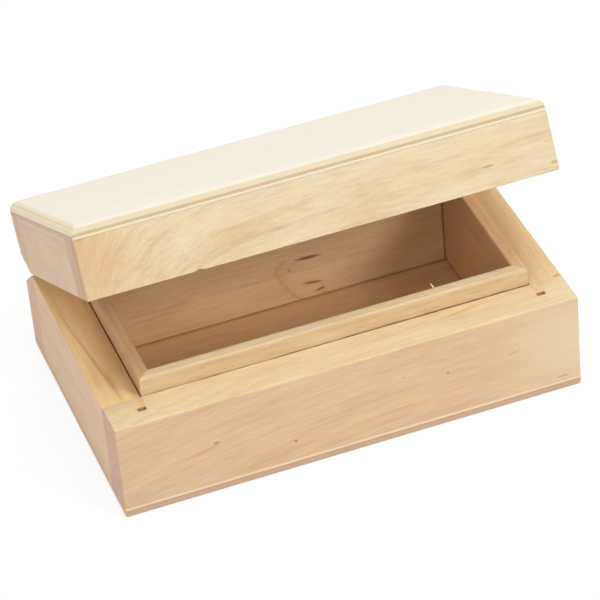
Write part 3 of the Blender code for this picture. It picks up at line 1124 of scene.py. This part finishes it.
@dataclass
class CaseHalf:
    """The four walls of the base or of the lid, between two levels of the shut box."""

    shop: Workshop
    body: Body
    wall_bottom: float
    wall_top: float
    bottom_ease: float
    top_ease: float
    upward: int
    chamfer: float
    timbers: dict[str, Timber]

    @property
    def case(self) -> Case:
        """The sizes of the box."""
        return self.shop.case

    @property
    def seam(self) -> float:
        """The level of the walls' edges at the seam."""
        return self.wall_bottom if self.upward > 0 else self.wall_top

    def _ease_wall(self, wall: Thing) -> None:
        """Round the outer corners and the outer edges at both levels.

        Args:
            wall: The wall.
        """
        case = self.case

        def corner(a: Vector, b: Vector) -> bool:
            """Tell whether an edge is an outer upright one.

            Args:
                a, b: The edge's ends.

            Returns:
                Whether it is.
            """
            upright = abs(a.x - b.x) < SAME_PLACE and abs(a.y - b.y) < SAME_PLACE
            return (
                upright and abs(abs(a.x) - case.right) < SAME_PLACE
                and abs(abs(a.y) - case.rear) < SAME_PLACE
            )

        def at_level(level: float) -> EdgeTest:
            """Make the test for the outer edges at a level.

            Args:
                level: The level.

            Returns:
                The test.
            """
            return lambda a, b: (
                abs(a.z - level) < SAME_PLACE and abs(b.z - level) < SAME_PLACE
                and all(case.on_outline(point) for point in (a, b, (a + b) / 2))
            )

        Bench.ease(wall, corner, case.corner_ease)
        Bench.ease(wall, at_level(self.wall_bottom), self.bottom_ease)
        Bench.ease(wall, at_level(self.wall_top), self.top_ease)

    def _chamfer(self, wall: Thing) -> None:
        """Cut the rear edge at the seam away, so that the lid can swing back.

        Args:
            wall: The wall.
        """
        case = self.case
        slope = Vector((0.0, case.rear - case.chamfer_start, self.upward * self.chamfer))
        away = slope.cross(Vector((self.upward, 0.0, 0.0))).normalized()
        Bench.saw(wall, Vector((0.0, case.chamfer_start, self.seam)), away)

    def _wall(self, node: str, xs: Sequence[float], ys: Sequence[float]) -> Thing:
        """Plane a wall and round its outer edges.

        Args:
            node: The node that it stands for.
            xs, ys: Its sides from left to right and from front to rear.

        Returns:
            The wall.
        """
        wall = Bench.plank(node, (xs[0], ys[0], self.wall_bottom), (xs[1], ys[1], self.wall_top))
        self._ease_wall(wall)
        return wall

    def _rout(self, wall: Thing, xs: Sequence[float], ys: Sequence[float]) -> None:
        """Cut a groove through the whole height of a wall.

        Args:
            wall: The wall.
            xs, ys: The groove's sides from left to right and from front to rear.
        """
        tool = Bench.block(
            "cutter", (xs[0], ys[0], self.wall_bottom - OVERRUN),
            (xs[1], ys[1], self.wall_top + OVERRUN),
        )
        Bench.cut(wall, tool)

    def _cut_dados(self, wall: Thing, inner_y: float, into_wall: int) -> None:
        """Rout the two dados of a long wall.

        Args:
            wall: The front or rear wall.
            inner_y: Its inner face.
            into_wall: -1 for the front wall, 1 for the rear one.
        """
        case = self.case
        depth = case.tongue_length + case.dado_end_gap
        ys = sorted((inner_y - into_wall * OVERRUN, inner_y + into_wall * depth))
        for low_x in (
            case.inner_left - case.tongue_thickness - case.glue_line,
            case.inner_right - case.glue_line,
        ):
            self._rout(wall, (low_x, low_x + case.tongue_thickness + 2 * case.glue_line), ys)

    def front_wall(self) -> None:
        """The full-width front board, with a dado for each end wall."""
        case = self.case
        node = f"{self.body.value}_front_wall"
        wall = self._wall(node, (case.left, case.right), (case.front, case.inner_front))
        self._cut_dados(wall, case.inner_front, -1)
        self.shop.board(wall, node, self.body, Slot.FACE, self.timbers["front"])

    def rear_wall(self) -> None:
        """The full-width rear board, bored for the hinges and chamfered at the seam."""
        case = self.case
        node = f"{self.body.value}_rear_wall"
        wall = self._wall(node, (case.left, case.right), (case.inner_rear, case.rear))
        self._chamfer(wall)
        self._cut_dados(wall, case.inner_rear, 1)
        middle = self.seam + self.upward * (case.bore_depth - OVERRUN) / 2
        for centre_x in (case.left + case.hinge_inset, case.right - case.hinge_inset):
            centre = Vector((centre_x, case.hinge_axis.y, middle))
            drill = Bench.dowel("drill", centre, case.bore_radius, case.bore_depth + OVERRUN)
            Bench.cut(wall, drill)
        self.shop.board(wall, node, self.body, Slot.FACE, self.timbers["rear"])

    def end_wall(self, side: Side) -> None:
        """A left or right board, with a tongue at either end on its inner face.

        Args:
            side: Which of the two.
        """
        case = self.case
        node = f"{self.body.value}_{side.value}_wall"
        if side is Side.LEFT:
            outer, inner, outward = case.left, case.inner_left, -1
        else:
            outer, inner, outward = case.right, case.inner_right, 1
        end_front = case.inner_front - case.tongue_length
        end_rear = case.inner_rear + case.tongue_length
        wall = self._wall(node, sorted((outer, inner)), (end_front, end_rear))
        self._chamfer(wall)
        waste = sorted((inner + outward * case.tongue_thickness, outer + outward * OVERRUN))
        self._rout(wall, waste, (end_front - OVERRUN, case.inner_front + case.glue_line))
        self._rout(wall, waste, (case.inner_rear - case.glue_line, end_rear + OVERRUN))
        self.shop.board(wall, node, self.body, Slot.END, self.timbers[side.value])

    def walls(self) -> None:
        """Make all four walls."""
        self.front_wall()
        self.rear_wall()
        for side in Side:
            self.end_wall(side)

    def panel(
        self, node: str, low_z: float, high_z: float, low_ease: float, high_ease: float,
        slot: Slot, timber: Timber,
    ) -> None:
        """A panel as large as the case, with its edges rounded at both levels.

        Args:
            node: The node that it stands for.
            low_z, high_z: Its two levels.
            low_ease, high_ease: How far its lower and upper edges are rounded.
            slot: The kind of its finish.
            timber: Its timber.
        """
        case = self.case
        thing = Bench.plank(node, (case.left, case.front, low_z), (case.right, case.rear, high_z))

        def at_level(level: float) -> EdgeTest:
            """Make the test for the edges at a level."""
            return lambda a, b: max(abs(a.z - level), abs(b.z - level)) < SAME_PLACE

        def on_mitre(a: Vector, b: Vector) -> bool:
            """Tell whether an edge lies on a corner's mitre line.

            Args:
                a, b: The edge's ends.

            Returns:
                Whether it is.
            """
            return a.x * b.x > 0 and a.y * b.y > 0 and all(
                abs(case.right - abs(point.x) - case.rear + abs(point.y)) < SAME_PLACE
                for point in (a, b)
            )

        for level, width in ((low_z, low_ease), (high_z, high_ease)):
            steps = ROUND_STEPS if width > case.joint_ease else EASE_STEPS
            Bench.ease(thing, at_level(level), width, steps)
        Bench.ease(thing, on_mitre, case.corner_ease)
        self.shop.board(thing, node, self.body, slot, timber, sanded_highlight_lift=0.0)


@dataclass
class Lining:
    """The four boards inside the base: mitred at the front, butted at the rear."""

    shop: Workshop
    timbers: dict[str, Timber]
    thickness: float = 0.006
    rear_thickness: float = 0.012
    stand: float = 0.0092
    rounding: float = 0.0012
    rounding_steps: int = 6
    # How much paler the rounded top edges are: sanded wear and a painted highlight.
    sanded_highlight_lift: float = 0.25
    mitre_gap: float = 0.00008

    def _board(
        self, place: str, low: Point, high: Point, mitres: Sequence[tuple[Vector, Vector]] = ()
    ) -> None:
        """Make one lining board.

        Args:
            place: The side of the compartment that it lines.
            low, high: Its opposite corners before it is mitred.
            mitres: For each mitre a point on the cut and the way to the waste.
        """
        node, timber = f"liner_{place}", self.timbers[place]
        across = 1 - timber.grain.value
        board = Bench.plank(node, low, high)

        def top_edge(a: Vector, b: Vector) -> bool:
            """Tell whether an edge is a long one at the top."""
            at_top = max(abs(a.z - high[2]), abs(b.z - high[2])) < SAME_PLACE
            return at_top and abs(a[across] - b[across]) < SAME_PLACE

        Bench.ease(board, top_edge, self.rounding, self.rounding_steps)
        for point, away in mitres:
            Bench.saw(board, point, away)
        self.shop.board(board, node, Body.BASE, Slot.LINER, timber, self.sanded_highlight_lift)

    def make(self) -> None:
        """Make the four boards."""
        case = self.shop.case
        low_z, high_z = case.bottom_panel + case.liner_gap, case.seam + self.stand
        left = case.inner_left + case.liner_gap
        right = case.inner_right - case.liner_gap
        front = case.inner_front + case.liner_gap
        rear = case.inner_rear - case.liner_gap
        slip = self.mitre_gap / math.sqrt(2)
        left_waste = Vector((-1.0, 1.0, 0.0)).normalized()
        right_waste = Vector((1.0, 1.0, 0.0)).normalized()
        self._board(
            "front", (left, front, low_z), (right, front + self.thickness, high_z),
            [(Vector((left + slip, front, 0.0)), left_waste),
             (Vector((right - slip, front, 0.0)), right_waste)],
        )
        self._board(
            "left", (left, front, low_z), (left + self.thickness, rear, high_z),
            [(Vector((left - slip, front, 0.0)), -left_waste)],
        )
        self._board(
            "right", (right - self.thickness, front, low_z), (right, rear, high_z),
            [(Vector((right + slip, front, 0.0)), -right_waste)],
        )
        inset = self.thickness + self.mitre_gap
        self._board(
            "rear", (left + inset, rear - self.rear_thickness, low_z),
            (right - inset, rear, high_z),
        )


def splinter(shop: Workshop, timber: Timber) -> None:
    """Make the splinter that stands up from the inner edge of the front lining board.

    Its foot is sunk a little into the board.

    Args:
        shop: Where it gets its finish and its body.
        timber: The timber of the board that it is torn from.
    """
    foot, tip = Vector((0.0503, -0.0470, 0.0588)), Vector((0.0488, -0.0442, 0.0611))
    thick, thin = 0.00050, 0.00025
    Bench.clear()
    bpy.ops.mesh.primitive_cone_add(
        vertices=10, radius1=thick, radius2=thin, depth=(tip - foot).length,
        location=(foot + tip) / 2, rotation=(tip - foot).to_track_quat("Z", "Y").to_euler(),
    )
    thing = Bench.settle("liner_front_splinter")
    Bench.modify(thing, "SUBSURF", levels=1)
    bpy.ops.object.shade_smooth()
    thing.data.materials.append(timber.make("splinter_timber", shop.case, Body.BASE))
    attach(thing, Body.BASE.value)
    shop.made.append(thing.name)
    log.info("%s: %d faces", thing.name, len(thing.data.polygons))


@dataclass
class Hinges:
    """The barrels and pins of the two hinges, which keep their shapes from the frame."""

    brass: Metal = Metal(tone(214, 178, 104), tone(176, 139, 78), 0.30, 0.00018)
    steel: Metal = Metal(tone(196, 197, 200), tone(150, 151, 155), 0.28, 0.00012)

    def dress(self, nodes: dict[str, Thing]) -> None:
        """Give the hinges' nodes their metal.

        Args:
            nodes: The frame's nodes by name.
        """
        brass = self.brass.make("turned_brass", around_x=False)
        steel = self.steel.make("drawn_steel", around_x=True)
        for side in Side:
            for name, metal in (
                (f"{side.value}_hinge_lower_barrel", brass),
                (f"{side.value}_hinge_upper_barrel", brass),
                (f"{side.value}_hinge_pin", steel),
            ):
                mesh = nodes[name].data
                mesh.materials.clear()
                mesh.materials.append(metal)
                log.info("%s dressed in %s", name, metal.name)


# --- The studio ---


@dataclass
class Studio:
    """A white floor, soft light from above and the right, and the camera."""

    room_light: float = 0.26
    room_colour: Paint = (1.0, 0.985, 0.965, 1.0)
    white: Paint = (1.0, 1.0, 1.0, 1.0)
    floor_colour: Paint = (0.93, 0.91, 0.89, 1.0)
    shadow_colour: Paint = (0.20, 0.20, 0.20, 1.0)
    floor_glow: float = 0.84
    floor_size: float = 8.0
    floor_level: float = -0.0002
    camera_place: Point = (-0.37231, -1.23677, 1.01149)
    looking: Point = (0.23073, 0.76425, -0.60224)
    image_right: Point = (0.93574, -0.34396, -0.0780)
    lens: float = 211.305
    sensor: float = 36.0
    aim: Point = (0.0, 0.0, 0.04)

    def room(self) -> None:
        """Light the scene evenly from all round, and show white behind it."""
        world = bpy.data.worlds.new("white_room")
        bpy.context.scene.world = world
        world.use_nodes = True
        world.node_tree.nodes.clear()
        sheet = Sheet(world.node_tree)
        sheet.two_ways(
            sheet.add("Background", {"Color": self.room_colour, "Strength": self.room_light}),
            sheet.add("Background", {"Color": self.white, "Strength": 1.0}), "OutputWorld",
        )

    def floor(self) -> None:
        """A plain floor that looks white and takes a faint shadow."""
        Bench.clear()
        place = (0.0, 0.0, self.floor_level)
        bpy.ops.mesh.primitive_plane_add(size=self.floor_size, location=place)
        floor = bpy.context.active_object
        floor.name = "studio_floor"
        material = bpy.data.materials.new("studio_floor")
        material.use_nodes = True
        material.node_tree.nodes.clear()
        sheet = Sheet(material.node_tree)
        shadow = sheet.add("BsdfDiffuse", {"Color": self.shadow_colour})
        glow = sheet.add("Emission", {"Color": self.white, "Strength": self.floor_glow})
        sheet.two_ways(
            sheet.add("BsdfDiffuse", {"Color": self.floor_colour}),
            sheet.add("AddShader", {0: shadow.outputs[0], 1: glow.outputs[0]}), "OutputMaterial",
        )
        floor.data.materials.append(material)

    def _softbox(self, name: str, place: Point, size: float, power: float, colour: Colour) -> None:
        """Hang one soft square lamp that points at the box.

        Args:
            name: Its name.
            place: Where it hangs.
            size: The side of its face.
            power: Its power in watts.
            colour: The colour of its light.
        """
        data = bpy.data.lights.new(name, "AREA")
        data.shape = "SQUARE"
        data.size = size
        data.energy = power
        data.color = colour
        lamp = bpy.data.objects.new(name, data)
        bpy.context.scene.collection.objects.link(lamp)
        direction = Vector(self.aim) - Vector(place)
        turned = direction.to_track_quat("-Z", "Y").to_matrix().to_4x4()
        lamp.matrix_world = Matrix.Translation(Vector(place)) @ turned

    def lamps(self) -> None:
        """Hang the key light on the right, two weak ones on the left, one overhead, one behind."""
        for lamp in (
            ("key_softbox", (1.11, -1.42, 1.12), 0.7, 21.0, (1.0, 0.95, 0.91)),
            ("fill_softbox", (-0.95, -1.25, 1.20), 0.9, 6.5, (0.98, 0.98, 1.0)),
            ("left_reflector", (-1.60, -0.20, 0.50), 0.8, 3.5, (1.0, 0.98, 0.97)),
            ("overhead_softbox", (0.10, -0.25, 2.0), 1.2, 16.0, (1.0, 1.0, 0.98)),
            ("rear_softbox", (0.30, 1.60, 1.50), 0.9, 10.0, (1.0, 1.0, 0.98)),
        ):
            self._softbox(*lamp)

    def camera(self) -> None:
        """Set the camera up at the photograph's viewing angle."""
        back = -Vector(self.looking).normalized()
        right = Vector(self.image_right)
        right = (right - back * right.dot(back)).normalized()
        up = back.cross(right)
        data = bpy.data.cameras.new("camera")
        data.lens = self.lens
        data.sensor_width = self.sensor
        data.sensor_fit = "HORIZONTAL"
        camera = bpy.data.objects.new("camera", data)
        bpy.context.scene.collection.objects.link(camera)
        turned = Matrix((right, up, back)).transposed().to_4x4()
        camera.matrix_world = Matrix.Translation(Vector(self.camera_place)) @ turned
        bpy.context.scene.camera = camera

    def make(self) -> None:
        """Set everything up."""
        bpy.context.scene.view_settings.view_transform = "Standard"
        self.room()
        self.floor()
        self.lamps()
        self.camera()


def build_base(shop: Workshop) -> None:
    """Make the walls and the floor of the base.

    Args:
        shop: Where the boards get their finish and their body.
    """
    case = shop.case
    # Each wall's tint for the faces that look up is painted light from above.
    front = Timber(
        body=tone(211, 182, 148), light=tone(223, 201, 170), dark=tone(189, 155, 118),
        heart=(-0.145, -0.060), ring=0.0036, sweep=0.020, sweep_from=-0.110,
        sweep_reach=0.10, seed=4.2, top_light_tint=(1.20, 1.34, 1.32),
        end_tone=(0.99, 0.91, 1.04), marks=BASE_FRONT_MARKS,
    )
    rear = replace(
        front, seed=11.3, sweep=0.0, heart=(0.16, -0.05), end_tone=(1.11, 1.05, 1.21), marks=()
    )
    left = Timber(
        body=tone(226, 196, 163), light=tone(236, 210, 180), dark=tone(208, 172, 134),
        grain=Grain.ALONG_DEPTH, heart=(-0.17, -0.05), seed=7.9, top_light_tint=(1.20, 1.20, 0.93),
        marks=BASE_LEFT_MARKS,
    )
    right = replace(
        left, seed=15.1, heart=(0.17, -0.02), body=tone(228, 196, 150),
        light=tone(238, 212, 172), dark=tone(208, 172, 126), top_light_tint=(1.07, 1.10, 1.10),
        marks=BASE_RIGHT_MARKS,
    )
    base = CaseHalf(
        shop=shop, body=Body.BASE, wall_bottom=case.bottom_panel + case.glue_line,
        wall_top=case.seam, bottom_ease=case.joint_ease, top_ease=case.rim_ease, upward=-1,
        chamfer=case.base_chamfer,
        timbers={"front": front, "rear": rear, "left": left, "right": right},
    )
    base.walls()
    panel = Timber(
        body=tone(216, 180, 140), light=tone(230, 200, 160), dark=tone(194, 154, 114),
        heart=(0.02, -0.14), seed=21.7, marks=FLOOR_SHADE_LINE,
        plies=Plies(0.0, case.bottom_panel, (
            Ply(0.0, tone(196, 170, 150), tone(205, 184, 170)),
            Ply(0.0011, tone(196, 165, 137), tone(228, 201, 184)),
            Ply(0.0037, tone(182, 142, 110), tone(208, 170, 145)),
            Ply(0.0041, tone(228, 207, 178), tone(215, 180, 153)),
        )),
    )
    base.panel(
        "base_bottom_panel", 0.0, case.bottom_panel, case.foot_round, case.joint_ease,
        Slot.FLOOR, panel,
    )


def build_lid(shop: Workshop) -> None:
    """Make the walls and the top of the lid.

    Args:
        shop: Where the boards get their finish and their body.
    """
    case = shop.case
    under_panel = case.top - case.top_panel
    front = Timber(
        body=tone(212, 194, 161), light=tone(224, 213, 187), dark=tone(192, 161, 119),
        heart=(-0.16, 0.02), ring=0.0032, sweep=0.026, sweep_from=-0.110,
        sweep_reach=0.026, seed=2.6, cloud_weight=1.0, end_tone=(0.98, 0.83, 0.89),
        marks=LID_FRONT_MARKS,
    )
    rear = replace(
        front, seed=9.4, sweep=0.0, heart=(0.17, 0.0), end_tone=(1.09, 0.94, 1.04), marks=()
    )
    left = Timber(
        body=tone(224, 196, 167), light=tone(234, 210, 184), dark=tone(206, 172, 138),
        grain=Grain.ALONG_DEPTH, heart=(-0.17, 0.02), seed=5.5,
    )
    right = replace(
        left, seed=13.8, heart=(0.17, 0.02), body=tone(226, 196, 152),
        light=tone(238, 212, 174), dark=tone(206, 172, 128),
    )
    lid = CaseHalf(
        shop=shop, body=Body.LID, wall_bottom=case.seam + case.lid_gap,
        wall_top=under_panel - case.glue_line, bottom_ease=case.lid_rim_ease,
        top_ease=case.joint_ease, upward=1, chamfer=case.lid_chamfer,
        timbers={"front": front, "rear": rear, "left": left, "right": right},
    )
    lid.walls()
    panel = Timber(
        body=tone(250, 244, 230), light=tone(253, 249, 239), dark=tone(243, 233, 212),
        heart=(0.01, -0.10), ring_weight=0.10, cloud_weight=0.5, streak_weight=0.4, seed=17.3,
        marks=LID_TOP_MARKS, plies=Plies(case.top, case.top_panel, (
            Ply(0.0, tone(236, 230, 217), tone(250, 234, 202)),
            Ply(0.0010, tone(230, 220, 196), tone(236, 212, 168)),
            Ply(0.0014, tone(218, 205, 173), tone(250, 233, 203)),
            Ply(0.0035, tone(197, 169, 133), tone(250, 233, 203)),
            Ply(0.0043, tone(197, 169, 133), tone(201, 174, 159)),
            Ply(0.0048, tone(222, 212, 188), tone(201, 174, 159)),
            Ply(0.0052, tone(222, 212, 190), tone(224, 196, 169)),
        )),
    )
    lid.panel(
        "lid_top_panel", under_panel, case.top, case.joint_ease, case.top_round, Slot.TOP,
        panel,
    )


def build_lining(shop: Workshop) -> None:
    """Make the lining of the compartment.

    Args:
        shop: Where the boards get their finish and their body.
    """
    # Each board's tint for the faces that look up is painted light from above.
    front = Timber(
        body=tone(217, 192, 150), light=tone(232, 216, 181), dark=tone(195, 159, 112),
        heart=(-0.13, 0.0), seed=3.3, ring=0.0028, top_light_tint=(1.13, 1.21, 1.40),
        marks=LINER_FRONT_MARKS,
    )
    rear = Timber(
        body=tone(234, 201, 160), light=tone(244, 217, 179), dark=tone(211, 170, 126),
        heart=(0.02, 0.10), seed=6.4, marks=LINER_REAR_MARKS,
    )
    # The left board's colours are set darker, to paint the shade that the lid casts on its outer
    # face.
    left = Timber(
        body=tone(207, 168, 132), light=tone(220, 189, 159), dark=tone(184, 140, 100),
        grain=Grain.ALONG_DEPTH, heart=(-0.19, 0.0), seed=8.8, top_light_tint=(1.02, 1.10, 1.04),
        marks=LINER_LEFT_MARKS,
    )
    right = replace(
        left, body=tone(213, 172, 128), light=tone(226, 192, 155), dark=tone(191, 142, 94),
        heart=(0.19, 0.0), seed=12.5, top_light_tint=(1.26, 1.36, 1.48), marks=LINER_RIGHT_MARKS,
    )
    Lining(shop, {"front": front, "rear": rear, "left": left, "right": right}).make()
    splinter(shop, replace(front, body=tone(246, 232, 214), lift=0.4, marks=()))


def main() -> None:
    """Build the box and the studio."""
    logging.basicConfig(level=logging.INFO, format="%(message)s")
    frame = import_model()
    shop = Workshop(Case())
    Studio().make()
    build_base(shop)
    build_lid(shop)
    build_lining(shop)
    Hinges().dress(frame["nodes"])
    log.info("made %d pieces", len(shop.made))


if __name__ == "__main__":
    main()
